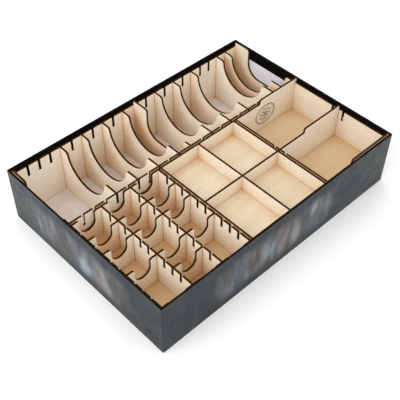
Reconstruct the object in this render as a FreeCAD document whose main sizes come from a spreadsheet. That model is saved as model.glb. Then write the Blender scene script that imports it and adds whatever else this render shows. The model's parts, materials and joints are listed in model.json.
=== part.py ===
import FreeCAD, Part
import os

# A board game box with its laser-cut plywood organiser.
#
# Frame: X along the box's long side, Y from the near long side to the far one, Z up.
# The origin is the centre of the box's underside.  Millimetres.
#
# The organiser is one long card tray at the back, and three stacks of trays in front of it:
# a token tray, two shallow trays and a deep two-compartment tray, each on a plain lower bin.
# Every board is drawn standing in its own frame (u along the board, v up it) and then placed.

document = FreeCAD.newDocument("board_game_box")

# ---------------------------------------------------------------- driving sizes

SIZES = (
    # the chipboard box
    ("box_width", 419.0, "outside, long side"),
    ("box_depth", 298.0, "outside, short side"),
    ("box_height", 87.0, "outside"),
    ("board_thickness", 2.0, "greyboard of the box"),
    ("paper_thickness", 0.4, "printed wrap and lining paper"),
    ("turn_in_depth", 18.0, "how far the wrap comes down inside the rim"),
    ("side_turn_in_extra", 7.0, "and how much further it comes down on the long sides"),
    # clearances
    ("box_gap", 1.0, "between the box walls and the trays"),
    ("tray_gap", 1.3, "between neighbouring trays"),
    ("slot_play", 0.8, "a slot is this much wider than its board"),
    ("ear_play", 0.3, "between the ends of two ears, or an ear and the far face of a wall"),
    ("side_play", 0.3, "between a divider's edge and the wall"),
    ("hang_gap", 0.5, "between a divider's foot and the floor below it"),
    # all trays
    ("ply_thickness", 3.0, "birch plywood"),
    ("rim_drop", 6.4, "tray tops below the box rim"),
    ("lug_rise", 7.0, "raised lugs above the tray tops"),
    ("tab_length", 24.0, "floor tabs"),
    # card tray
    ("card_tray_depth", 120.7, "outside"),
    ("card_centre_shift", 1.0, "centre wall and slots to the left of the tray's middle"),
    ("card_slots_per_side", 10, "slots each side of the centre wall"),
    ("card_centre_margin", 21.4, "tray centre to the first slot"),
    ("card_end_margin", 20.65, "end wall to the last slot, if the slots were not shifted"),
    ("card_slot_depth", 17.3, "from the tray top"),
    ("card_scoop_radius", 39.3, "half-round scoop in each card divider"),
    ("card_scoop_setback", 63.5, "front face of the tray to the scoop's centre"),
    ("card_shoulder_radius", 5.0, "rounded shoulders of that scoop"),
    ("wall_scoop_width", 76.0, "scoop in the end walls and the centre wall"),
    ("wall_scoop_depth", 38.1, "tray top down to its flat bottom"),
    ("wall_scoop_corner", 23.0, "rounding of its lower corners"),
    ("wall_scoop_setback", 52.2, "front face of the tray to its middle"),
    ("wall_shoulder_radius", 4.0, "rounded shoulders of that scoop"),
    # token tray
    ("token_tray_width", 144.4, "outside"),
    ("token_slots", 10, "slots along each lane"),
    ("token_end_margin", 17.1, "front or back wall to the nearest slot"),
    ("token_slot_depth", 12.5, "from the tray top"),
    ("token_scoop_radius", 12.0, "scoop in each token divider"),
    ("token_scoop_drop", 11.7, "tray top down to that scoop's centre"),
    ("token_wall_scoop_extra", 2.0, "how much deeper the scoops in the front and back walls are"),
    ("token_shoulder_radius", 3.0, "rounded shoulders of that scoop"),
    # shallow trays
    ("shallow_tray_width", 138.0, "outside"),
    ("shallow_tray_height", 25.3, "outside"),
    # right tray
    ("right_slot_spacing", 9.5, "between the three divider positions"),
    ("right_slot_depth", 16.0, "from the tray top"),
    ("step_position", 50.1, "left face of the tray to the step up in its cross boards"),
    ("step_radius", 2.6, "rounding of that step"),
)

# Sizes that follow from the driving ones.
LAYOUT = (
    ("inner_floor", "Sizes.board_thickness + 2 * Sizes.paper_thickness"),
    ("tray_half_x", "Sizes.box_width / 2 - inner_floor - Sizes.box_gap"),
    ("tray_half_y", "Sizes.box_depth / 2 - inner_floor - Sizes.box_gap"),
    ("tray_top", "Sizes.box_height - Sizes.rim_drop"),
    ("slot_width", "Sizes.ply_thickness + Sizes.slot_play"),
    ("card_front", "tray_half_y - Sizes.card_tray_depth"),
    ("card_length", "2 * tray_half_x"),
    ("card_centre", "tray_half_x - Sizes.card_centre_shift"),
    ("card_height", "tray_top - inner_floor"),
    ("card_pitch", "(tray_half_x - Sizes.ply_thickness - Sizes.card_centre_margin"
                   " - Sizes.card_end_margin) / (Sizes.card_slots_per_side - 1)"),
    ("front_depth", "card_front - Sizes.tray_gap + tray_half_y"),
    ("front_base", "tray_top - 2 * Sizes.shallow_tray_height"),
    ("bin_height", "front_base - inner_floor"),
    ("deep_tray_height", "tray_top - front_base"),
    ("lane_pitch", "(Sizes.token_tray_width - Sizes.ply_thickness) / 3"),
    ("token_pitch", "(front_depth - 2 * Sizes.ply_thickness - 2 * Sizes.token_end_margin)"
                    " / (Sizes.token_slots - 1)"),
    ("shallow_left", "Sizes.token_tray_width + Sizes.tray_gap - tray_half_x"),
    ("right_left", "shallow_left + Sizes.shallow_tray_width + Sizes.tray_gap"),
    ("right_tray_width", "tray_half_x - right_left"),
)

# Which slots hold a divider.  Card slots are counted outwards from the centre wall, token
# slots from the back of the tray.
CARD_DIVIDERS = ((-1, 6), (-1, 4), (-1, 2), (-1, 0), (1, 1), (1, 3), (1, 5), (1, 8), (1, 9))
TOKEN_DIVIDERS = (("left", (1, 3, 6)), ("middle", (1, 3, 6, 8)), ("right", (1, 3, 6)))

OVERCUT = 1.0          # how far a cutting tool stands out of the board
TALL_FINGERS = 5       # corner fingers on a deep tray
LOW_FINGERS = 3        # corner fingers on a shallow tray or a bin

sheet = document.addObject("Spreadsheet::Sheet", "Sizes")
for row, (alias, number, note) in enumerate(SIZES, start=1):
    sheet.set("A%d" % row, note)
    sheet.set("B%d" % row, str(number))
    sheet.setAlias("B%d" % row, alias)

layout = document.addObject("Spreadsheet::Sheet", "Layout")
for row, (alias, formula) in enumerate(LAYOUT, start=1):
    layout.set("A%d" % row, alias.replace("_", " "))
    layout.setAlias("B%d" % row, alias)
for row, (alias, formula) in enumerate(LAYOUT, start=1):
    layout.set("B%d" % row, "=" + formula)
document.recompute()

PLY = "Sizes.ply_thickness"
PAPER = "Sizes.paper_thickness"
subparts = []


# ---------------------------------------------------------------- building blocks

def block(name, low, size):
    """A box from its low corner and its size, each given as three formulas."""
    box = document.addObject("Part::Box", name)
    for side, formula in zip(("Length", "Width", "Height"), size):
        box.setExpression(side, formula)
    for axis, formula in zip("xyz", low):
        box.setExpression("Placement.Base." + axis, formula)
    return box


def round_bar(name, centre_u, centre_v, radius):
    """A cylinder through a board's thickness."""
    bar = document.addObject("Part::Cylinder", name)
    bar.setExpression("Radius", radius)
    bar.setExpression("Height", "%s + 2 * %s" % (PLY, OVERCUT))
    bar.Placement.Rotation = FreeCAD.Rotation(FreeCAD.Vector(1, 0, 0), -90)
    bar.setExpression("Placement.Base.x", centre_u)
    bar.setExpression("Placement.Base.y", "-%s" % OVERCUT)
    bar.setExpression("Placement.Base.z", centre_v)
    return bar


def join(name, pieces):
    """One shape from several; a single piece is returned as it is."""
    if len(pieces) == 1:
        return pieces[0]
    fusion = document.addObject("Part::MultiFuse", name)
    fusion.Shapes = pieces
    fusion.Refine = True
    return fusion


def subtract(name, base, tools):
    """The base with every tool taken away."""
    if not tools:
        return base
    result = document.addObject("Part::Cut", name)
    result.Base = base
    result.Tool = join(name + "_tools", tools)
    result.Refine = True
    return result


def keep(label, shape):
    """Make an object a finished sub-part under its own label."""
    shape.Label = label
    subparts.append(shape)
    return shape


class Board:
    """A flat board standing up: u runs along it, v up it, and y is its thickness."""

    def __init__(self, label, length, height):
        self.label = label
        self.length = length
        self.height = height
        self.solid = [self.plate("plate", "0", "0", length, height)]
        self.tools = []

    def plate(self, kind, u, v, length, height):
        return block("%s_%s" % (self.label, kind), (u, "0", v), (length, PLY, height))

    def tool(self, kind, u, v, length, height):
        name = "%s_%s" % (self.label, kind)
        thickness = "%s + 2 * %s" % (PLY, OVERCUT)
        return block(name, (u, "-%s" % OVERCUT, v), (length, thickness, height))

    def tab(self, u, v, length, height):
        """More board, outside or on top of the plate."""
        self.solid.append(self.plate("tab", u, v, length, height))

    def window(self, u, v, length, height):
        """A straight-sided hole or notch."""
        self.tools.append(self.tool("window", u, v, length, height))

    def top_slot(self, centre, depth):
        """An open slot that takes another board's ear."""
        start = "%s - Layout.slot_width / 2" % centre
        bottom = "%s - %s" % (self.height, depth)
        self.window(start, bottom, "Layout.slot_width", "%s + %s" % (depth, OVERCUT))

    def corner(self, u, v, side_u, side_v, radius, kind):
        """The sliver between a square corner and its rounding, reaching away from (u, v)."""
        low_u = u if side_u > 0 else "%s - %s" % (u, radius)
        low_v = v if side_v > 0 else "%s - %s" % (v, radius)
        far_u = "%s %s %s" % (u, "+" if side_u > 0 else "-", radius)
        far_v = "%s %s %s" % (v, "+" if side_v > 0 else "-", radius)
        make = self.plate if kind == "fill" else self.tool
        square = make(kind, low_u, low_v, radius, radius)
        bar = round_bar("%s_%s_bar" % (self.label, kind), far_u, far_v, radius)
        return subtract("%s_%s_sliver" % (self.label, kind), square, [bar])

    def round_off(self, u, v, side_u, radius):
        """Round a square top corner whose board lies on side_u of it."""
        self.tools.append(self.corner(u, v, side_u, -1, radius, "rounding"))

    def fill_in(self, u, v, side_u, radius):
        """Round the inside corner at (u, v) with a little more board on side_u of it."""
        self.solid.append(self.corner(u, v, side_u, 1, radius, "fill"))

    def deep_scoop(self, centre, drop, half_width, shoulder, top, corner=None):
        """A U-shaped scoop with rounded shoulders; its bottom is a half round, or flat between corners."""
        middle = "%s - %s" % (self.height, drop)
        left = "%s - %s" % (centre, half_width)
        right = "%s + %s" % (centre, half_width)
        self.window(left, middle, "2 * %s" % half_width, "%s - (%s) + %s" % (top, middle, OVERCUT))
        self.round_off(left, self.height, -1, shoulder)
        self.round_off(right, top, 1, shoulder)
        if corner is None:
            self.tools.append(round_bar(self.label + "_scoop", centre, middle, half_width))
            return
        flat_left = "%s + %s" % (left, corner)
        flat_right = "%s - %s" % (right, corner)
        for corner_u in (flat_left, flat_right):
            self.tools.append(round_bar(self.label + "_scoop", corner_u, middle, corner))
        self.window(flat_left, "%s - %s" % (middle, corner), "2 * (%s - %s)" % (half_width, corner), corner)

    def round_scoop(self, centre, radius, shoulder):
        """A half-round scoop centred on the top edge, with shoulders tangent to both."""
        reach = "sqrt((%s + %s)^2 - (%s)^2)" % (radius, shoulder, shoulder)
        share = "%s / (%s + %s)" % (radius, radius, shoulder)
        touch_u = "%s * %s" % (reach, share)
        touch_v = "%s * %s" % (shoulder, share)
        self.tools.append(round_bar(self.label + "_scoop", centre, self.height, radius))
        for side in (-1, 1):
            start = "%s + %s" % (centre, touch_u) if side > 0 else "%s - %s" % (centre, reach)
            square = self.tool("shoulder", start, "%s - %s" % (self.height, touch_v),
                               "%s - %s" % (reach, touch_u), "%s + %s" % (touch_v, OVERCUT))
            bar = round_bar(self.label + "_shoulder_bar", "%s + %d * %s" % (centre, side, reach),
                            "%s - %s" % (self.height, shoulder), shoulder)
            self.tools.append(subtract(self.label + "_shoulder_cut", square, [bar]))

    def ears(self, reach, depth):
        """Ears at both ends of the top edge that hang in the slots of the walls."""
        bottom = "%s - %s" % (self.height, depth)
        self.tab("-(%s)" % reach, bottom, reach, depth)
        self.tab(self.length, bottom, reach, depth)

    def made(self):
        solid = join(self.label + "_solid", self.solid)
        return subtract(self.label + "_board", solid, self.tools)

    def placed(self, along, low, keep_it=True):
        """Finish the board and stand it along x or y with its low corner at low."""
        shape = self.made()
        x, y, z = low
        if along == "y":
            shape.Placement.Rotation = FreeCAD.Rotation(FreeCAD.Vector(0, 0, 1), 90)
            x = "%s + %s" % (x, PLY)
        for axis, formula in zip("xyz", (x, y, z)):
            shape.setExpression("Placement.Base." + axis, formula)
        return keep(self.label, shape) if keep_it else shape


def finger_rows(height, fingers):
    """Bottom and height of each finger that belongs to the boards along y."""
    finger = "(%s) / %d" % (height, fingers)
    return [("%s * %d" % (finger, row), finger) for row in range(1, fingers, 2)]


class Tray:
    """A plywood tray: two walls along x that run full length, two along y between them."""

    def __init__(self, name, left, front, width, depth, base, height, fingers):
        self.name = name
        self.left, self.front, self.base = left, front, base
        self.width, self.depth, self.height = width, depth, height
        self.inner_depth = "(%s - 2 * %s)" % (depth, PLY)
        self.inner_width = "(%s - 2 * %s)" % (width, PLY)
        self.rows = finger_rows(height, fingers)
        self.front_wall = Board(name + "_front_wall", width, height)
        self.back_wall = Board(name + "_back_wall", width, height)
        self.left_wall = Board(name + "_left_wall", self.inner_depth, height)
        self.right_wall = Board(name + "_right_wall", self.inner_depth, height)
        for wall in (self.front_wall, self.back_wall):
            for bottom, finger in self.rows:
                wall.window("0", bottom, PLY, finger)
                wall.window("%s - %s" % (width, PLY), bottom, PLY, finger)
        for wall in (self.left_wall, self.right_wall):
            self.end_tabs(wall)

    def end_tabs(self, wall):
        """Fingers at both ends of a board that runs along y."""
        for bottom, finger in self.rows:
            wall.tab("-" + PLY, bottom, PLY, finger)
            wall.tab(self.inner_depth, bottom, PLY, finger)

    def wall_windows(self, position, rows):
        """Windows in the front and back walls for a board along y whose left face is there."""
        for wall in (self.front_wall, self.back_wall):
            for bottom, finger in rows:
                wall.window(position, bottom, PLY, finger)

    def add_floor(self):
        """A floor flush with the bottom, its tabs let into all four walls."""
        name = self.name + "_floor"
        plates = [block(name + "_plate", (PLY, PLY, "0"), (self.inner_width, self.inner_depth, PLY))]
        for quarter in (1, 3):
            u = "%s * %d / 4 - Sizes.tab_length / 2" % (self.inner_width, quarter)
            w = "%s * %d / 4 - Sizes.tab_length / 2" % (self.inner_depth, quarter)
            x = "%s + %s" % (u, PLY)
            y = "%s + %s" % (w, PLY)
            plates.append(block(name + "_tab", (x, "0", "0"), ("Sizes.tab_length", self.depth, PLY)))
            plates.append(block(name + "_tab", ("0", y, "0"), (self.width, "Sizes.tab_length", PLY)))
            for wall in (self.front_wall, self.back_wall):
                wall.window(x, "-%s" % OVERCUT, "Sizes.tab_length", "%s + %s" % (PLY, OVERCUT))
            for wall in (self.left_wall, self.right_wall):
                wall.window(w, "-%s" % OVERCUT, "Sizes.tab_length", "%s + %s" % (PLY, OVERCUT))
        floor = join(name, plates)
        for axis, formula in zip("xyz", (self.left, self.front, self.base)):
            floor.setExpression("Placement.Base." + axis, formula)
        keep(name, floor)

    def at(self, x, y, z="0"):
        """A place in the tray as formulas in the box's frame."""
        return tuple("%s + %s" % pair for pair in zip((self.left, self.front, self.base), (x, y, z)))

    def place_walls(self, keep_them=True):
        """Stand the four walls; returns them in the order front, back, left, right."""
        right = "%s - %s" % (self.width, PLY)
        back = "%s - %s" % (self.depth, PLY)
        return [
            self.front_wall.placed("x", self.at("0", "0"), keep_them),
            self.back_wall.placed("x", self.at("0", back), keep_them),
            self.left_wall.placed("y", self.at("0", PLY), keep_them),
            self.right_wall.placed("y", self.at(right, PLY), keep_them),
        ]


def grouped(label, pieces):
    """Several separate boards kept as one sub-part."""
    group = document.addObject("Part::Compound", label)
    group.Links = pieces
    return keep(label, group)


# ---------------------------------------------------------------- the chipboard box

def footprint(name, inset, bottom, height):
    """A block centred in plan, inset from the box's outside."""
    low = ("-(Sizes.box_width / 2 - (%s))" % inset, "-(Sizes.box_depth / 2 - (%s))" % inset, bottom)
    size = ("Sizes.box_width - 2 * (%s)" % inset, "Sizes.box_depth - 2 * (%s)" % inset, height)
    return block(name, low, size)


def wall_boards(bottom):
    """Four greyboard walls on the bottom board: the long ones run full length."""
    thickness = "Sizes.board_thickness"
    height = "Sizes.box_height - %s - (%s)" % (PAPER, bottom)
    half_x = "Sizes.box_width / 2 - %s" % PAPER
    half_y = "Sizes.box_depth / 2 - %s" % PAPER
    long_size = ("Sizes.box_width - 2 * %s" % PAPER, thickness, height)
    short_size = (thickness, "Sizes.box_depth - 2 * %s - 2 * %s" % (PAPER, thickness), height)
    short_low = "-(%s) + %s" % (half_y, thickness)
    return [
        block("near_board", ("-(%s)" % half_x, "-(%s)" % half_y, bottom), long_size),
        block("far_board", ("-(%s)" % half_x, "%s - %s" % (half_y, thickness), bottom), long_size),
        block("left_board", ("-(%s)" % half_x, short_low, bottom), short_size),
        block("right_board", ("%s - %s" % (half_x, thickness), short_low, bottom), short_size),
    ]


def make_box():
    """Greyboard panels, the printed wrap turned over their rim, base paper and a lining."""
    board_in = "%s + Sizes.board_thickness" % PAPER
    clear_in = "Layout.inner_floor"
    turn_bottom = "Sizes.box_height - Sizes.turn_in_depth"

    keep("box_bottom_board", footprint("box_bottom_board", PAPER, PAPER, "Sizes.board_thickness"))
    grouped("box_wall_boards", wall_boards(board_in))

    outside = footprint("wrap_outside", "0", "0", "Sizes.box_height")
    room = footprint("wrap_room", PAPER, "-%s" % OVERCUT, "Sizes.box_height + %s - %s" % (OVERCUT, PAPER))
    cap = subtract("wrap_cap", outside, [room])
    turn_in = footprint("wrap_turn_in", board_in, turn_bottom, "Sizes.turn_in_depth")
    mouth = footprint("wrap_mouth", clear_in, "-%s" % OVERCUT, "Sizes.box_height + 2 * %s" % OVERCUT)
    margins = [side_margin("front", "-(Sizes.box_depth / 2 - (%s))" % board_in, turn_bottom),
               side_margin("back", "Sizes.box_depth / 2 - (%s)" % clear_in, turn_bottom)]
    sheet_solid = join("wrap_sheet", [cap, turn_in] + margins)
    keep("box_wrap", subtract("box_wrap", sheet_solid, [mouth]))

    keep("box_base_paper", footprint("box_base_paper", PAPER, "0", PAPER))

    lining = footprint("lining_outside", board_in, board_in, "%s - (%s)" % (turn_bottom, board_in))
    inside = footprint("lining_inside", clear_in, clear_in, "Sizes.box_height")
    keep("box_liner", subtract("box_liner", lining, [inside] + margins))


def side_margin(name, y, top):
    """The strip by which the wrap comes down further inside a long side."""
    half_x = "(Sizes.box_width / 2 - %s - Sizes.board_thickness)" % PAPER
    low = ("-" + half_x, y, "%s - Sizes.side_turn_in_extra" % top)
    return block("wrap_%s_margin" % name, low, ("2 * " + half_x, PAPER, "Sizes.side_turn_in_extra"))


# ---------------------------------------------------------------- card tray

def make_card_tray():
    """A long floorless frame with slots for dividers and a wall at its middle."""
    tray = Tray("card_tray", "-Layout.tray_half_x", "Layout.card_front", "Layout.card_length",
                "Sizes.card_tray_depth", "Layout.inner_floor", "Layout.card_height", TALL_FINGERS)
    for wall in (tray.front_wall, tray.back_wall):
        for side in (-1, 1):
            for slot in range(int(sheet.card_slots_per_side)):
                centre = "Layout.card_centre + %d * %s" % (side, card_offset(slot))
                wall.top_slot("(%s)" % centre, "Sizes.card_slot_depth")
    centre_wall = Board("card_tray_centre_wall", tray.inner_depth, tray.height)
    tray.end_tabs(centre_wall)
    centre_left = "Layout.card_centre - %s / 2" % PLY
    tray.wall_windows(centre_left, tray.rows)
    for wall in (tray.left_wall, centre_wall, tray.right_wall):
        raised_back(wall, tray)
    tray.place_walls()
    centre_wall.placed("y", tray.at(centre_left, PLY))


def card_offset(slot):
    """Distance from the middle of the centre wall to a card slot's centre."""
    return "(Sizes.card_centre_margin + %d * Layout.card_pitch)" % slot


def raised_back(wall, tray):
    """A raised lug behind a deep scoop."""
    centre = "(Sizes.wall_scoop_setback - %s)" % PLY
    half_width = "(Sizes.wall_scoop_width / 2)"
    drop = "(Sizes.wall_scoop_depth - Sizes.wall_scoop_corner)"
    lug_start = "(%s + %s)" % (centre, half_width)
    lug_top = "(%s + Sizes.lug_rise)" % tray.height
    wall.tab(lug_start, tray.height, "%s - %s" % (tray.inner_depth, lug_start), "Sizes.lug_rise")
    wall.deep_scoop(centre, drop, half_width, "Sizes.wall_shoulder_radius", lug_top,
                    "Sizes.wall_scoop_corner")


def make_card_dividers():
    """Boards with a half-round scoop, hung across the card tray by their ears."""
    for number, (side, slot) in enumerate(CARD_DIVIDERS, start=1):
        length = "(Sizes.card_tray_depth - 2 * %s - 2 * Sizes.side_play)" % PLY
        divider = Board("card_divider_%d" % number, length, "(Layout.card_height - Sizes.hang_gap)")
        divider.ears("(%s - Sizes.ear_play + Sizes.side_play)" % PLY, "Sizes.card_slot_depth")
        centre = "(Sizes.card_scoop_setback - %s - Sizes.side_play)" % PLY
        divider.round_scoop(centre, "Sizes.card_scoop_radius", "Sizes.card_shoulder_radius")
        x = "%d * %s - Sizes.card_centre_shift - %s / 2" % (side, card_offset(slot), PLY)
        y = "Layout.card_front + %s + Sizes.side_play" % PLY
        divider.placed("y", (x, y, "Layout.inner_floor + Sizes.hang_gap"))


# ---------------------------------------------------------------- token tray

def token_slot(slot):
    """Distance from the inside of the front wall to a token slot's centre."""
    return "(Sizes.token_end_margin + (Sizes.token_slots - 1 - %d) * Layout.token_pitch)" % slot


def make_token_tray():
    """Three lanes, with a scoop at both ends of each and slots along every lane wall."""
    tray = Tray("token_tray", "-Layout.tray_half_x", "-Layout.tray_half_y", "Sizes.token_tray_width",
                "Layout.front_depth", "Layout.front_base", "Layout.deep_tray_height", TALL_FINGERS)
    tray.add_floor()
    lane_height = "(%s - %s)" % (tray.height, PLY)
    lane_rows = finger_rows(tray.height, LOW_FINGERS)
    lane_walls = []
    for lane in (1, 2):
        wall = Board("token_tray_lane_wall_%d" % lane, tray.inner_depth, lane_height)
        for bottom, finger in lane_rows:
            low = "%s - %s" % (bottom, PLY)
            wall.tab("-" + PLY, low, PLY, finger)
            wall.tab(tray.inner_depth, low, PLY, finger)
        tray.wall_windows("%d * Layout.lane_pitch" % lane, lane_rows)
        lane_walls.append(wall)
    for wall in [tray.left_wall, tray.right_wall] + lane_walls:
        for slot in range(int(sheet.token_slots)):
            wall.top_slot(token_slot(slot), "Sizes.token_slot_depth")
    for wall in (tray.front_wall, tray.back_wall):
        for lane in range(len(TOKEN_DIVIDERS)):
            centre = "((%d + 0.5) * Layout.lane_pitch + %s / 2)" % (lane, PLY)
            token_scoop(wall, centre, "(Sizes.token_scoop_drop + Sizes.token_wall_scoop_extra)")
    tray.place_walls()
    for lane, wall in enumerate(lane_walls, start=1):
        wall.placed("y", tray.at("%d * Layout.lane_pitch" % lane, PLY, PLY))


def token_scoop(board, centre, drop="Sizes.token_scoop_drop"):
    board.deep_scoop(centre, drop, "Sizes.token_scoop_radius", "Sizes.token_shoulder_radius", board.height)


def make_token_dividers():
    """Small scooped boards that hang across one lane each; two can share a slot."""
    for lane, (lane_name, slots) in enumerate(TOKEN_DIVIDERS):
        for number, slot in enumerate(slots, start=1):
            length = "(Layout.lane_pitch - %s - 2 * Sizes.side_play)" % PLY
            height = "(Layout.deep_tray_height - %s - Sizes.hang_gap)" % PLY
            divider = Board("token_divider_%s_%d" % (lane_name, number), length, height)
            reach = "((%s - Sizes.ear_play) / 2 + Sizes.side_play)" % PLY
            divider.ears(reach, "Sizes.token_slot_depth")
            token_scoop(divider, "(%s / 2)" % length)
            x = "%d * Layout.lane_pitch + %s + Sizes.side_play - Layout.tray_half_x" % (lane, PLY)
            y = "%s / 2 + %s - Layout.tray_half_y" % (PLY, token_slot(slot))
            z = "Layout.front_base + %s + Sizes.hang_gap" % PLY
            divider.placed("x", (x, y, z))


# ---------------------------------------------------------------- shallow trays

def make_shallow_tray(name, base, walls_apart):
    """Four equal compartments; its two cross walls lap half and half."""
    tray = Tray(name, "Layout.shallow_left", "-Layout.tray_half_y", "Sizes.shallow_tray_width",
                "Layout.front_depth", base, "Sizes.shallow_tray_height", LOW_FINGERS)
    tray.add_floor()
    height = "(%s - %s)" % (tray.height, PLY)
    middle_x = "(%s - %s) / 2" % (tray.width, PLY)
    middle_y = "(%s - %s) / 2" % (tray.depth, PLY)
    spine = Board(name + "_spine_wall", tray.inner_depth, height)
    cross = Board(name + "_cross_wall", tray.inner_width, height)
    for bottom, finger in tray.rows:
        low = "%s - %s" % (bottom, PLY)
        for board in (spine, cross):
            board.tab("-" + PLY, low, PLY, finger)
            board.tab(board.length, low, PLY, finger)
        for wall in (tray.left_wall, tray.right_wall):
            wall.window("(%s - %s) / 2" % (tray.inner_depth, PLY), bottom, PLY, finger)
    tray.wall_windows(middle_x, tray.rows)
    half = "%s / 2" % height
    spine.window("(%s - %s) / 2" % (tray.inner_depth, PLY), half, PLY, "%s + %s" % (half, OVERCUT))
    cross.window("(%s - %s) / 2" % (tray.inner_width, PLY), "-%s" % OVERCUT, PLY,
                 "%s + %s" % (half, OVERCUT))
    walls = tray.place_walls(walls_apart)
    inner = [spine.placed("y", tray.at(middle_x, PLY, PLY), walls_apart),
             cross.placed("x", tray.at(PLY, middle_y, PLY), walls_apart)]
    if not walls_apart:
        grouped(name + "_walls", walls)
        grouped(name + "_cross_walls", inner)


# ---------------------------------------------------------------- right tray

def stepped_top(board, step):
    """Raise the board's top to the right of a rounded step."""
    board.tab(step, board.height, "%s - %s" % (board.length, step), "Sizes.lug_rise")
    board.round_off(step, "(%s + Sizes.lug_rise)" % board.height, 1, "Sizes.step_radius")
    board.fill_in(step, board.height, -1, "Sizes.step_radius")


def make_right_tray():
    """Two compartments about a divider that has three places; its cross boards are stepped."""
    tray = Tray("right_tray", "Layout.right_left", "-Layout.tray_half_y", "Layout.right_tray_width",
                "Layout.front_depth", "Layout.front_base", "Layout.deep_tray_height", TALL_FINGERS)
    tray.add_floor()
    for wall in (tray.left_wall, tray.right_wall):
        for place in (-1, 0, 1):
            centre = "(%s / 2 + %d * Sizes.right_slot_spacing)" % (tray.inner_depth, place)
            wall.top_slot(centre, "Sizes.right_slot_depth")
    for wall in (tray.front_wall, tray.back_wall):
        stepped_top(wall, "Sizes.step_position")
    tray.place_walls()

    length = "(%s - 2 * Sizes.side_play)" % tray.inner_width
    divider = Board("right_tray_divider", length, "(%s - %s - Sizes.hang_gap)" % (tray.height, PLY))
    divider.ears("(%s - Sizes.ear_play + Sizes.side_play)" % PLY, "Sizes.right_slot_depth")
    stepped_top(divider, "(Sizes.step_position - %s - Sizes.side_play)" % PLY)
    middle = "(%s - %s) / 2" % (tray.depth, PLY)
    divider.placed("x", tray.at("%s + Sizes.side_play" % PLY, middle, "%s + Sizes.hang_gap" % PLY))


# ---------------------------------------------------------------- lower bins

def make_bin(name, left, width):
    """A plain open tray on the box's floor that carries the trays above it."""
    tray = Tray(name, left, "-Layout.tray_half_y", width, "Layout.front_depth",
                "Layout.inner_floor", "Layout.bin_height", LOW_FINGERS)
    tray.add_floor()
    grouped(name + "_walls", tray.place_walls(keep_them=False))


make_box()
make_card_tray()
make_card_dividers()
make_token_tray()
make_token_dividers()
make_shallow_tray("shallow_tray", "Layout.front_base + Sizes.shallow_tray_height", True)
make_shallow_tray("lower_shallow_tray", "Layout.front_base", False)
make_right_tray()
make_bin("left_bin", "-Layout.tray_half_x", "Sizes.token_tray_width")
make_bin("middle_bin", "Layout.shallow_left", "Sizes.shallow_tray_width")
make_bin("right_bin", "Layout.right_left", "Layout.right_tray_width")

# ---------------------------------------------------------------- checks and export

document.recompute()
for item in document.Objects:
    if "Invalid" in item.State or "Error" in item.State:
        raise RuntimeError("%s did not rebuild" % item.Label)
for item in subparts:
    if item.Shape.isNull() or not item.Shape.isValid():
        raise RuntimeError("%s has no valid shape" % item.Label)

os.makedirs("parts", exist_ok=True)
for item in subparts:
    item.Shape.exportStep("parts/%s.step" % item.Label)
print("%d sub-parts written" % len(subparts))
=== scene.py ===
import json
import math

import bmesh
import bpy
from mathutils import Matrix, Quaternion, Vector


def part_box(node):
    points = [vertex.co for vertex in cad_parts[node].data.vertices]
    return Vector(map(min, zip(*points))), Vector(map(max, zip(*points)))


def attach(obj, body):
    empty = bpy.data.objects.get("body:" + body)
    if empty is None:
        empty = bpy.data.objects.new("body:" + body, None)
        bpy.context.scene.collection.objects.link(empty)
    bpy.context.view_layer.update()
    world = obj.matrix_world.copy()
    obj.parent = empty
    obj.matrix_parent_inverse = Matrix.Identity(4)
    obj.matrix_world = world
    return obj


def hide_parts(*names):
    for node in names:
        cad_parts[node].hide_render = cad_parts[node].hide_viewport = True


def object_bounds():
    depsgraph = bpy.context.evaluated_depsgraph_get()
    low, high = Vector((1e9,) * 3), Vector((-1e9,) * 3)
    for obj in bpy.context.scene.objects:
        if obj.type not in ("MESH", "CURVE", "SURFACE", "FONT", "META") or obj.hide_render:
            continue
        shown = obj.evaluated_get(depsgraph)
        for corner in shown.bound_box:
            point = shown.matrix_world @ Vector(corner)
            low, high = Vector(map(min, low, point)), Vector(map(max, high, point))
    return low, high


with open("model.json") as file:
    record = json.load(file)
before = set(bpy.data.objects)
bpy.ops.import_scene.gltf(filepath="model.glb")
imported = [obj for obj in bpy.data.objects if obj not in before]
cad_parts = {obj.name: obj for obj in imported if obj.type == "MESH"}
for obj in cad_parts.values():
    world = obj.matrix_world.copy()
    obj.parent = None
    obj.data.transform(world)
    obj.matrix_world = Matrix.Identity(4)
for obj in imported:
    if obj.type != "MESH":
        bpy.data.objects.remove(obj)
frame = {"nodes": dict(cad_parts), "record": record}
CAD_LOW, CAD_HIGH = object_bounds()
MM = 0.001

# ---------------------------------------------------------------- places read from the frame

BOX_LOW, BOX_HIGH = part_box("box_wrap")
LINER_LOW, LINER_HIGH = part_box("box_liner")
BASE_LOW, BASE_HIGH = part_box("box_base_paper")
PAPER = BASE_HIGH.z - BASE_LOW.z            # thickness of the wrap and the lining
WALL = (LINER_LOW.x + PAPER) - BOX_LOW.x    # wrap, greyboard and lining together
TURN_IN_BOTTOM = LINER_HIGH.z
TURN_IN_SHADE_MARGIN = 7.0 * MM                      # the black turn-in is this much deeper on the long sides, painted shade behind the trays' notches


# ---------------------------------------------------------------- node trees

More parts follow.
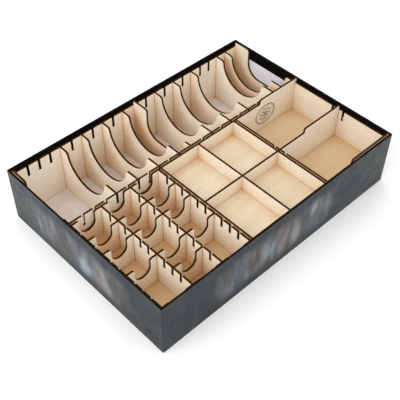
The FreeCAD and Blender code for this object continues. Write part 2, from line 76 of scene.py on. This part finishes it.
class Look:
    """A material's node tree, with short ways to add and join its nodes."""

    def __init__(self, name):
        self.material = bpy.data.materials.new(name)
        self.material.use_nodes = True
        self.tree = self.material.node_tree
        self.tree.nodes.clear()
        self.shader = self.add("ShaderNodeBsdfPrincipled")
        output = self.add("ShaderNodeOutputMaterial")
        self.tree.links.new(self.shader.outputs[0], output.inputs[0])

    def add(self, kind, settings=(), **inputs):
        node = self.tree.nodes.new(kind)
        for key, setting in dict(settings).items():
            setattr(node, key, setting)
        for key, source in inputs.items():
            self.feed(node.inputs[key.replace("_", " ")], source)
        return node

    def feed(self, socket, source):
        """Link a socket, or set it to a plain value."""
        if isinstance(source, bpy.types.NodeSocket):
            self.tree.links.new(source, socket)
        else:
            socket.default_value = source

    def place(self):
        """Coordinates in metres that stay with the piece when it moves."""
        return self.add("ShaderNodeTexCoord").outputs["Object"]

    def facing(self, axis):
        """How squarely the true surface faces along an axis, 0 to 1."""
        geometry = self.add("ShaderNodeNewGeometry")
        parts = self.add("ShaderNodeSeparateXYZ", Vector=geometry.outputs["True Normal"])
        return self.sum("ABSOLUTE", parts.outputs["XYZ".index(axis)])

    def sum(self, operation, *terms):
        """One step of arithmetic on numbers or sockets."""
        node = self.add("ShaderNodeMath", {"operation": operation})
        for socket, term in zip(node.inputs, terms):
            self.feed(socket, term)
        return node.outputs[0]

    def band(self, value, low, high, bottom=0.0, top=1.0):
        """A clamped smooth ramp of a value from bottom at low to top at high."""
        node = self.add("ShaderNodeMapRange", {"interpolation_type": "SMOOTHSTEP"}, Value=value)
        for key, number in (("From Min", low), ("From Max", high), ("To Min", bottom), ("To Max", top)):
            node.inputs[key].default_value = number
        return node.outputs[0]

    def stretch(self, vector, scale, offset=(0, 0, 0)):
        node = self.add("ShaderNodeMapping", Vector=vector)
        node.inputs["Scale"].default_value = scale
        node.inputs["Location"].default_value = offset
        return node.outputs[0]

    def noise(self, vector, scale, detail, roughness, distortion=0.0):
        node = self.add("ShaderNodeTexNoise", Vector=vector)
        for socket, number in (("Scale", scale), ("Detail", detail), ("Roughness", roughness),
                               ("Distortion", distortion)):
            node.inputs[socket].default_value = number
        return node.outputs["Fac"]

    def mix(self, share, first, second, blend="MIX"):
        """Two colours blended by a share from 0 to 1."""
        node = self.add("ShaderNodeMix", {"data_type": "RGBA", "blend_type": blend})
        self.feed(node.inputs["Factor"], share)
        colours = [s for s in node.inputs if s.type == "RGBA"]
        for socket, colour in zip(colours, (first, second)):
            self.feed(socket, colour)
        return [s for s in node.outputs if s.type == "RGBA"][0]

    def bump(self, height, distance, strength):
        node = self.add("ShaderNodeBump", Height=height)
        node.inputs["Distance"].default_value = distance
        node.inputs["Strength"].default_value = strength
        return node.outputs[0]

    def finish(self, colour, roughness, normal, specular):
        self.feed(self.shader.inputs["Base Color"], colour)
        self.feed(self.shader.inputs["Roughness"], roughness)
        self.feed(self.shader.inputs["Specular IOR Level"], specular)
        if normal is not None:
            self.feed(self.shader.inputs["Normal"], normal)
        return self.material


def rgb(red, green, blue):
    return (red, green, blue, 1.0)


# ---------------------------------------------------------------- plywood

# Pale and warm wood of a face: upright boards of the slotted trays and of the open ones, then
# the floors of the shallow trays and the deep ones; the deep trays' floors are darker and warmer as
# painted shade of their bays.
SLOTTED_WALL = (rgb(0.93, 0.87, 0.77), rgb(0.90, 0.81, 0.67))
OPEN_WALL = (rgb(0.86, 0.80, 0.70), rgb(0.83, 0.74, 0.61))
PALE_FLOOR = (rgb(0.76, 0.66, 0.50), rgb(0.69, 0.56, 0.39))
SHADED_DEEP_FLOOR = (rgb(0.73, 0.56, 0.36), rgb(0.65, 0.46, 0.26))
HOLLOW_SHADE_TINT = rgb(0.91, 0.63, 0.36)
FIBRE = rgb(0.58, 0.40, 0.22)
CHAR = rgb(0.030, 0.0095, 0.0012)
SINGED = rgb(0.076, 0.029, 0.0045)
TOAST = rgb(0.46, 0.27, 0.12)

PLY_PITCH = 1.0 * MM          # one veneer and its neighbour
STAIN_REACH = 1.1 * MM        # smoke stain on the face beside a cut
HOLLOW_REACH = 38.0 * MM      # how far the walls of a bay shade each other's faces
JOINT_REACH = 2.0 * MM        # dark line where two boards meet: partly burnt kerf, partly painted shade in the inner corner
GRAIN_BUMP = 0.06 * MM

# Along the grain, across it in the face, and through the board, as axis numbers.
GRAIN_AXES = {"X": (1, 2, 0), "Y": (0, 2, 1), "Z": (0, 1, 2), "mixed": (1, 2, 0)}


def grain_scale(through, along, across, depth):
    """Noise scale per axis for boards thin along one axis, or for walls standing both ways."""
    if through == "mixed":
        return (along, along, across)
    scale = [0.0, 0.0, 0.0]
    for axis, number in zip(GRAIN_AXES[through], (along, across, depth)):
        scale[axis] = number
    return scale


def birch(name, through, palette, tone):
    """Birch ply whose boards are thin along one axis, or "mixed"; other faces are laser-cut edges."""
    look = Look(name)
    depth = GRAIN_AXES[through][2]
    place = look.place()

    # Growth figure: long soft bands that wander across the grain.
    scale = grain_scale(through, 5.0, 38.0, 30.0)
    figure = look.noise(look.stretch(place, scale, (tone, tone, tone)), 1.0, 4.0, 0.55, 0.6)
    # Fibres: hair-thin streaks along the grain.
    scale = grain_scale(through, 60.0, 1900.0, 900.0)
    fibres = look.noise(look.stretch(place, scale), 1.0, 3.0, 0.6)
    # Flecks: short darker pores.
    scale = grain_scale(through, 260.0, 2400.0, 2000.0)
    pores = look.band(look.noise(look.stretch(place, scale), 1.0, 1.0, 0.5), 0.66, 0.76)
    cloud = look.noise(place, 9.0 + tone, 2.0, 0.5)

    pale, warm = palette
    face = look.mix(look.band(figure, 0.32, 0.70), pale, warm)
    face = look.mix(look.band(cloud, 0.35, 0.75, 0.0, 0.30), face, warm)
    face = look.mix(look.band(fibres, 0.45, 0.75, 0.0, 0.22), face, FIBRE)
    face = look.mix(look.sum("MULTIPLY", pores, 0.35), face, FIBRE)
    mottle = look.noise(place, 330.0, 4.0, 0.75)
    face = look.mix(look.band(mottle, 0.42, 0.72, 0.0, 0.30), face, FIBRE)

    # Laser edges: charred, with the plies showing as faint stripes through the thickness.
    axes = "XY" if through == "mixed" else through
    broad = look.facing(axes[0])
    if len(axes) > 1:
        broad = look.sum("MAXIMUM", broad, look.facing(axes[1]))
    edge = look.band(broad, 0.35, 0.65, 1.0, 0.0)
    parts = look.add("ShaderNodeSeparateXYZ", Vector=place)
    plies = look.sum("SINE", look.sum("MULTIPLY", parts.outputs[depth], 2.0 * math.pi / PLY_PITCH))
    burn = look.noise(place, 420.0, 3.0, 0.6)
    burn = look.sum("ADD", burn, look.sum("MULTIPLY", plies, 0.10))
    charred = look.mix(look.band(burn, 0.40, 0.72), CHAR, SINGED)

    # Smoke stain on the face beside each cut, found from how far the rounded normal turns.
    rounded = look.add("ShaderNodeBevel", {"samples": 4}, Radius=STAIN_REACH)
    flat = look.add("ShaderNodeNewGeometry").outputs["True Normal"]
    turn = look.add("ShaderNodeVectorMath", {"operation": "DOT_PRODUCT"})
    look.feed(turn.inputs[0], rounded.outputs[0])
    look.feed(turn.inputs[1], flat)
    near_edge = look.band(turn.outputs["Value"], 0.80, 0.999, 1.0, 0.0)
    ragged = look.band(look.noise(place, 240.0, 2.0, 0.5), 0.30, 0.70, 0.45, 1.0)
    face = look.mix(look.sum("MULTIPLY", look.sum("MULTIPLY", near_edge, ragged), 0.55), face, TOAST)

    # Painted shade: the faces are browned by an occlusion tint towards the inner corners and deep bays,
    # standing in for their shade.
    hollow = look.add("ShaderNodeAmbientOcclusion", {"samples": 8}, Distance=HOLLOW_REACH)
    depths = look.band(hollow.outputs["AO"], 0.06, 0.72, 0.66, 0.0)
    face = look.mix(depths, face, look.mix(1.0, face, HOLLOW_SHADE_TINT, "MULTIPLY"))
    # Dark line where two boards meet: partly the burnt kerf, partly painted shade in the inner corner.
    joint = look.add("ShaderNodeAmbientOcclusion", {"samples": 6}, Distance=JOINT_REACH)
    face = look.mix(look.band(joint.outputs["AO"], 0.35, 0.75, 0.80, 0.0), face, TOAST)

    colour = look.mix(edge, face, charred)
    roughness = look.sum("ADD", look.band(fibres, 0.3, 0.7, 0.50, 0.62), look.sum("MULTIPLY", edge, 0.28))
    shine = look.sum("SUBTRACT", 0.30, look.sum("MULTIPLY", edge, 0.26))
    relief = look.sum("ADD", look.sum("MULTIPLY", fibres, 0.6), look.sum("MULTIPLY", pores, -0.5))
    relief = look.sum("ADD", relief, look.sum("MULTIPLY", plies, look.sum("MULTIPLY", edge, 0.5)))
    normal = look.bump(relief, GRAIN_BUMP, 0.5)
    return look.finish(colour, roughness, normal, shine)


def board_axis(node):
    """The axis through a board: the one it is thinnest along."""
    low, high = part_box(node)
    size = [high[axis] - low[axis] for axis in range(3)]
    return "XYZ"[size.index(min(size))]


TONES = 3


def paint_boards():
    """Every plywood node gets birch for the way it lies, in one of a few tones."""
    made = {}
    slots = {part["node"]: part["material_slot"] for part in frame["record"]["subparts"]}
    boards = sorted(node for node, slot in slots.items() if slot == "birch_plywood")
    for number, node in enumerate(boards):
        through = board_axis(node)
        if node.endswith("_walls"):
            through = "mixed"
        kind, palette = ("slotted", SLOTTED_WALL) if node[:4] in ("card", "toke") else ("open", OPEN_WALL)
        if node.endswith("_floor"):
            # Floors of the deep trays take the darker, warmer palette: painted shade.
            kind, palette = ("pale", PALE_FLOOR) if "shallow" in node else ("shaded_deep", SHADED_DEEP_FLOOR)
        key = (through, kind, number % TONES)
        if key not in made:
            made[key] = birch("birch_%s_%s_%d" % key, through, palette, 1.7 * key[2])
        dress(node, made[key])


def dress(node, material):
    """Give a CAD object a material in each of its slots."""
    for slot in frame["nodes"][node].material_slots:
        slot.material = material


# ---------------------------------------------------------------- paper and board

def greyboard():
    look = Look("greyboard")
    place = look.place()
    speck = look.noise(place, 900.0, 4.0, 0.7)
    cloud = look.noise(place, 60.0, 3.0, 0.5)
    colour = look.mix(look.band(speck, 0.35, 0.70), rgb(0.20, 0.19, 0.18), rgb(0.34, 0.33, 0.31))
    colour = look.mix(look.band(cloud, 0.3, 0.7, 0.0, 0.3), colour, rgb(0.26, 0.24, 0.21))
    return look.finish(colour, 0.85, look.bump(speck, 0.08 * MM, 0.6), 0.2)


def lining():
    """Uncoated pale paper with fibre mottle; on the box's floor it is warmed by painted light, standing
    in for light bounced off the wood.
    """
    look = Look("lining_paper")
    place = look.place()
    mottle = look.noise(place, 45.0, 4.0, 0.6)
    fibre = look.noise(place, 1500.0, 3.0, 0.6)
    colour = look.mix(look.band(mottle, 0.30, 0.72), rgb(0.78, 0.77, 0.86), rgb(0.86, 0.85, 0.92))
    # Painted light: faces turned upwards are warmed, standing in for light bounced off the wood.
    wood_bounce_tint = look.mix(look.band(mottle, 0.35, 0.65), rgb(0.74, 0.62, 0.56), rgb(0.82, 0.72, 0.67))
    colour = look.mix(look.sum("MULTIPLY", look.facing("Z"), 0.85), colour, wood_bounce_tint)
    colour = look.mix(look.band(fibre, 0.55, 0.80, 0.0, 0.25), colour, rgb(0.48, 0.44, 0.48))
    return look.finish(colour, 0.78, look.bump(fibre, 0.05 * MM, 0.5), 0.25)


LINEN_PITCH = 0.42 * MM
LINEN_BUMP = 0.035 * MM
RUB_REACH = 1.6 * MM          # rubbed band along the wrap's corners
SIDE_SKIN = 2.0 * MM          # depth from a side that counts as its face

SLATE = (rgb(0.009, 0.014, 0.017), rgb(0.020, 0.027, 0.031))
HAZE_STRENGTH = 0.70
HAZE_HUES = (rgb(0.25, 0.19, 0.20), rgb(0.28, 0.28, 0.29), rgb(0.33, 0.41, 0.44))
FOLD_INK_AND_SHADOW = rgb(0.010, 0.009, 0.009)
RUBBED = rgb(0.30, 0.29, 0.28)
TURN_IN_BLACK = (rgb(0.0022, 0.0012, 0.0009), rgb(0.0050, 0.0028, 0.0021))
BASE_SLATE = (rgb(0.016, 0.021, 0.024), rgb(0.032, 0.039, 0.043))
BASE_SCUFF = rgb(0.14, 0.14, 0.14)


def linen(look, place):
    """Height of a fine linen emboss: crossed threads in whichever plane the face lies."""
    parts = look.add("ShaderNodeSeparateXYZ", Vector=place)
    threads = None
    for axis in range(3):
        wave = look.sum("SINE", look.sum("MULTIPLY", parts.outputs[axis], 2.0 * math.pi / LINEN_PITCH))
        threads = wave if threads is None else look.sum("ADD", threads, wave)
    uneven = look.noise(place, 700.0, 2.0, 0.5)
    return look.sum("ADD", look.sum("MULTIPLY", threads, 0.22), uneven)


def printed_wrap():
    """Dark slate printed paper with a linen emboss, soft haze and rubbed edges."""
    look = Look("printed_wrap")
    place = look.place()
    parts = look.add("ShaderNodeSeparateXYZ", Vector=place)
    x, y, z = parts.outputs
    tone = look.noise(place, 16.0, 5.0, 0.65)
    slate = look.mix(look.band(tone, 0.28, 0.75), *SLATE)

    # Haze: out-of-focus pale patches across the middle of the near and left sides.
    height = look.sum("DIVIDE", look.sum("SUBTRACT", z, 0.48 * BOX_HIGH.z), 0.40 * BOX_HIGH.z)
    level = look.band(look.sum("MULTIPLY", height, height), 0.0, 1.0, 1.0, 0.0)
    near_side = look.sum("LESS_THAN", y, BOX_LOW.y + SIDE_SKIN)
    left_side = look.sum("LESS_THAN", x, BOX_LOW.x + SIDE_SKIN)
    across = look.sum("DIVIDE", look.sum("ADD", x, 0.07 * BOX_HIGH.x), 0.58 * BOX_HIGH.x)
    near_reach = look.band(look.sum("MULTIPLY", across, across), 0.3, 1.0, 1.0, 0.0)
    down = look.sum("DIVIDE", look.sum("SUBTRACT", y, 0.08 * BOX_HIGH.y), 0.78 * BOX_HIGH.y)
    left_reach = look.band(look.sum("MULTIPLY", down, down), 0.3, 1.0, 1.0, 0.0)
    reach = look.sum("MAXIMUM", look.sum("MULTIPLY", near_side, near_reach),
                     look.sum("MULTIPLY", left_side, left_reach))
    blur = look.noise(look.stretch(place, (46.0, 46.0, 17.0)), 1.0, 2.0, 0.5)
    patches = look.band(blur, 0.38, 0.70, 0.22, 1.0)
    haze = look.sum("MULTIPLY", look.sum("MULTIPLY", level, reach), patches)
    hue = look.noise(look.stretch(place, (30.0, 30.0, 12.0), (3.1, 1.7, 0.6)), 1.0, 1.0, 0.4)
    pale = look.mix(look.band(hue, 0.36, 0.50), *HAZE_HUES[:2])
    pale = look.mix(look.band(hue, 0.50, 0.64), pale, HAZE_HUES[2])
    colour = look.mix(look.sum("MULTIPLY", haze, HAZE_STRENGTH), slate, pale)

    # The print is darkest along the top fold, where the ink stops short of the edge; the dark band along
    # the foot is painted contact shadow.
    rim = look.band(z, BOX_HIGH.z - 2.2 * MM, BOX_HIGH.z - 0.9 * MM)
    painted_contact_shadow = look.band(z, 0.5 * MM, 1.6 * MM, 1.0, 0.0)
    colour = look.mix(look.sum("MAXIMUM", rim, painted_contact_shadow), colour, FOLD_INK_AND_SHADOW)

    # Rubbed corners: bare paper shows in a few spots where the wrap turns.
    rounded = look.add("ShaderNodeBevel", {"samples": 4}, Radius=RUB_REACH)
    flat = look.add("ShaderNodeNewGeometry").outputs["Normal"]
    turn = look.add("ShaderNodeVectorMath", {"operation": "DOT_PRODUCT"})
    look.feed(turn.inputs[0], rounded.outputs[0])
    look.feed(turn.inputs[1], flat)
    corner = look.band(turn.outputs["Value"], 0.93, 0.995, 1.0, 0.0)
    rub = look.band(look.noise(place, 300.0, 4.0, 0.7), 0.60, 0.72)
    colour = look.mix(look.sum("MULTIPLY", look.sum("MULTIPLY", corner, rub), 0.5), colour, RUBBED)

    scuff = look.noise(place, 55.0, 4.0, 0.7)
    roughness = look.band(scuff, 0.3, 0.7, 0.36, 0.52)
    return look.finish(colour, roughness, look.bump(linen(look, place), LINEN_BUMP, 0.7), 0.25)


def black_turn_in():
    """The unprinted black margin of the wrap, inside the rim."""
    look = Look("black_turn_in")
    place = look.place()
    tone = look.noise(place, 120.0, 4.0, 0.6)
    colour = look.mix(look.band(tone, 0.3, 0.75), *TURN_IN_BLACK)
    roughness = look.band(tone, 0.3, 0.7, 0.60, 0.75)
    return look.finish(colour, roughness, look.bump(linen(look, place), 0.03 * MM, 0.6), 0.06)


def base_paper():
    """The sheet under the box: dark slate with a linen emboss, scuffed by table tops."""
    look = Look("base_paper")
    place = look.place()
    tone = look.noise(place, 16.0, 5.0, 0.65)
    scuff = look.band(look.noise(look.stretch(place, (34.0, 8.0, 8.0)), 1.0, 6.0, 0.7), 0.52, 0.74)
    colour = look.mix(look.band(tone, 0.28, 0.75), *BASE_SLATE)
    colour = look.mix(look.sum("MULTIPLY", scuff, 0.40), colour, BASE_SCUFF)
    roughness = look.band(scuff, 0.0, 1.0, 0.42, 0.64)
    return look.finish(colour, roughness, look.bump(linen(look, place), LINEN_BUMP, 0.7), 0.25)


def add_piece(name, mesh, *materials):
    """Make an object of a bmesh, with its materials in the order of the faces' slot numbers."""
    bmesh.ops.recalc_face_normals(mesh, faces=mesh.faces)
    data = bpy.data.meshes.new(name)
    mesh.to_mesh(data)
    mesh.free()
    for material in materials:
        data.materials.append(material)
    piece = bpy.data.objects.new(name, data)
    bpy.context.scene.collection.objects.link(piece)
    return piece


# ---------------------------------------------------------------- the wrap as a folded sheet

CORNER_RADIUS = 1.3 * MM      # outside vertical corners of the wrapped box
INNER_RADIUS = 0.35 * MM      # inside corners
FOLD_RADIUS = 0.55 * MM       # fold over the rim
CORNER_STEPS = 6
FOLD_STEPS = 5


def ring(inset, height):
    """Points round a rounded rectangle inset from the outside; on the long sides the black turn-in's
    lower edge steps down, as painted shade behind the trays' notches.
    """
    half_x = (BOX_HIGH.x - BOX_LOW.x) / 2 - inset
    half_y = (BOX_HIGH.y - BOX_LOW.y) / 2 - inset
    radius = max(CORNER_RADIUS - inset, INNER_RADIUS)
    points = []
    for corner, (side_x, side_y) in enumerate(((1, 1), (-1, 1), (-1, -1), (1, -1))):
        for step in range(CORNER_STEPS + 1):
            angle = math.pi / 2 * (corner + step / CORNER_STEPS)
            on_long_side = abs(math.sin(angle)) > 0.6
            # Painted shade: the black turn-in reaches lower on the long sides.
            shade_drop = TURN_IN_SHADE_MARGIN if height == TURN_IN_BOTTOM and on_long_side else 0.0
            points.append(Vector((side_x * (half_x - radius) + radius * math.cos(angle),
                                  side_y * (half_y - radius) + radius * math.sin(angle), height - shade_drop)))
    return points


def fold(inset_centre, height_centre, start, end, radius):
    """A quarter round of the section, as (inset, height) pairs."""
    angles = [start + (end - start) * step / FOLD_STEPS for step in range(FOLD_STEPS + 1)]
    return [(inset_centre - radius * math.cos(a), height_centre + radius * math.sin(a)) for a in angles]


def make_wrap():
    """The printed sheet: up the outside, over the rim and down inside, with its own thickness."""
    top = BOX_HIGH.z
    section = [(0.0, 0.0)]
    section += fold(FOLD_RADIUS, top - FOLD_RADIUS, 0.0, math.pi / 2, FOLD_RADIUS)
    outer_count = len(section) - FOLD_STEPS // 2 - 1
    section += fold(WALL - FOLD_RADIUS, top - FOLD_RADIUS, math.pi / 2, math.pi, FOLD_RADIUS)
    section += [(WALL, TURN_IN_BOTTOM), (WALL - PAPER, TURN_IN_BOTTOM), (WALL - PAPER, top - PAPER * 2),
                (PAPER, top - PAPER * 2), (PAPER, 0.0)]
    mesh = bmesh.new()
    rings = [[mesh.verts.new(point) for point in ring(*pair)] for pair in section]
    count = len(rings[0])
    for row in range(len(rings)):
        here, there = rings[row], rings[(row + 1) % len(rings)]
        for step in range(count):
            after = (step + 1) % count
            face = mesh.faces.new((here[step], here[after], there[after], there[step]))
            face.smooth = True
            face.material_index = 0 if row < outer_count else 1
    piece = add_piece("wrap_sheet", mesh, printed_wrap(), black_turn_in())
    piece.data.set_sharp_from_angle(angle=math.radians(40))
    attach(piece, "box")
    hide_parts("box_wrap")


# ---------------------------------------------------------------- a burnt rosette on the right tray

MARK_RING = (19.5 * MM, 16.5 * MM)     # half width and half height of the outer ring
MARK_PLACE = (0.49, 0.48)              # across and up the wall, as shares of it
MARK_PROUD = 0.04 * MM
OVALS = ((1.0, 96, 1.1 * MM), (0.90, 96, 0.6 * MM), (0.12, 24, 0.8 * MM))  # scale, points, line width
PETALS = 8
PETAL_SIZE = (12.5 * MM, 2.6 * MM)
PETAL_LINE = 1.0 * MM


def oval(scale, count):
    """A closed loop of (across, up) points."""
    turns = [2 * math.pi * step / count for step in range(count)]
    return [(MARK_RING[0] * scale * math.cos(t), MARK_RING[1] * scale * math.sin(t)) for t in turns]


def petal(direction, length, breadth, count=28):
    """A closed pointed leaf from the middle outwards."""
    points = []
    for step in range(count):
        t = step / (count / 2)
        along = t if t <= 1 else 2 - t
        side = math.sin(math.pi * along) ** 0.8 * breadth * (1 if t <= 1 else -1)
        reach = 0.14 * length + 0.86 * length * along
        points.append((reach * math.cos(direction) - side * math.sin(direction),
                       reach * math.sin(direction) + side * math.cos(direction)))
    return points


def ribbon(mesh, loop, width, face_y, centre):
    """A flat raised line along a closed loop on a face that looks towards -Y."""
    inner, outer = [], []
    count = len(loop)
    for step in range(count):
        before, here, after = loop[step - 1], loop[step], loop[(step + 1) % count]
        along = Vector((after[0] - before[0], after[1] - before[1])).normalized()
        for points, side in ((inner, -0.5), (outer, 0.5)):
            across = here[0] - along.y * width * side
            up = here[1] + along.x * width * side
            points.append([Vector((centre[0] + across, y, centre[1] + up))
                           for y in (face_y, face_y - MARK_PROUD)])
    made = [[[mesh.verts.new(point) for point in pair] for pair in points] for points in (inner, outer)]
    for step in range(count):
        after = (step + 1) % count
        (base_a, top_a), (base_b, top_b) = made[0][step], made[1][step]
        (base_c, top_c), (base_d, top_d) = made[0][after], made[1][after]
        mesh.faces.new((top_a, top_c, top_d, top_b))
        mesh.faces.new((base_a, base_c, top_c, top_a))
        mesh.faces.new((base_b, top_b, top_d, base_d))


def burnt_line():
    look = Look("burnt_line")
    place = look.place()
    depth = look.noise(place, 900.0, 3.0, 0.6)
    colour = look.mix(look.band(depth, 0.30, 0.72), rgb(0.060, 0.024, 0.008), rgb(0.19, 0.095, 0.040))
    roughness = look.band(depth, 0.3, 0.7, 0.70, 0.88)
    return look.finish(colour, roughness, look.bump(depth, 0.05 * MM, 0.7), 0.10)


def make_mark():
    """A ring and an eight-leaved rosette, burnt into the front face of the right tray's back wall."""
    low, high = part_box("right_tray_back_wall")
    centre = (low.x + MARK_PLACE[0] * (high.x - low.x), low.z + MARK_PLACE[1] * (high.z - low.z))
    mesh = bmesh.new()
    for scale, count, width in OVALS:
        ribbon(mesh, oval(scale, count), width, low.y, centre)
    for number in range(PETALS):
        direction = 2 * math.pi * (number + 0.5) / PETALS
        ribbon(mesh, petal(direction, *PETAL_SIZE), PETAL_LINE, low.y, centre)
    piece = add_piece("burnt_rosette", mesh, burnt_line())
    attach(piece, "right_tray")


# ---------------------------------------------------------------- floor, light and camera

CAMERA_AT = Vector((-514.0, -519.0, 775.8)) * MM
CAMERA_TO = Vector((-36.7, -29.9, 43.8)) * MM
CAMERA_LENS = 68.48
CAMERA_ROLL = math.radians(0.80)
SENSOR_WIDTH = 36.0
FLOOR_SIZE = 12.0
SKY_STRENGTH = 1.15
KEY_AT = (-1.15, -0.10, 0.85)
KEY_SIZE = (1.0, 1.0)
KEY_WATTS = 6.3


def make_floor():
    bpy.ops.mesh.primitive_plane_add(size=FLOOR_SIZE, location=(0, 0, CAD_LOW.z))
    floor = bpy.context.object
    floor.name = "studio_floor"
    look = Look("studio_floor")
    speck = look.noise(look.place(), 3.0, 2.0, 0.5)
    colour = look.mix(look.band(speck, 0.3, 0.7), rgb(0.97, 0.97, 0.97), rgb(0.985, 0.985, 0.985))
    floor.data.materials.append(look.finish(colour, 0.9, None, 0.1))


def area_light(name, at, size, watts):
    data = bpy.data.lights.new(name, "AREA")
    data.shape = "RECTANGLE"
    data.size, data.size_y = size
    data.energy = watts
    lamp = bpy.data.objects.new(name, data)
    lamp.location = at
    lamp.rotation_euler = (CAMERA_TO - Vector(at)).to_track_quat("-Z", "Y").to_euler()
    bpy.context.scene.collection.objects.link(lamp)


def make_studio():
    make_floor()
    world = bpy.data.worlds.new("studio")
    world.use_nodes = True
    background = world.node_tree.nodes["Background"]
    background.inputs["Color"].default_value = (1.0, 1.0, 1.0, 1.0)
    background.inputs["Strength"].default_value = SKY_STRENGTH
    bpy.context.scene.world = world
    area_light("key", KEY_AT, KEY_SIZE, KEY_WATTS)
    data = bpy.data.cameras.new("camera")
    data.lens = CAMERA_LENS
    data.sensor_width = SENSOR_WIDTH
    camera = bpy.data.objects.new("camera", data)
    camera.location = CAMERA_AT
    aim = (CAMERA_TO - CAMERA_AT).to_track_quat("-Z", "Y")
    camera.rotation_euler = (aim @ Quaternion((0, 0, 1), CAMERA_ROLL)).to_euler()
    bpy.context.scene.collection.objects.link(camera)
    bpy.context.scene.camera = camera
    bpy.context.scene.view_settings.view_transform = "Standard"


make_studio()
paint_boards()
GREYBOARD = greyboard()
dress("box_bottom_board", GREYBOARD)
dress("box_wall_boards", GREYBOARD)
dress("box_liner", lining())
dress("box_base_paper", base_paper())
make_wrap()
make_mark()
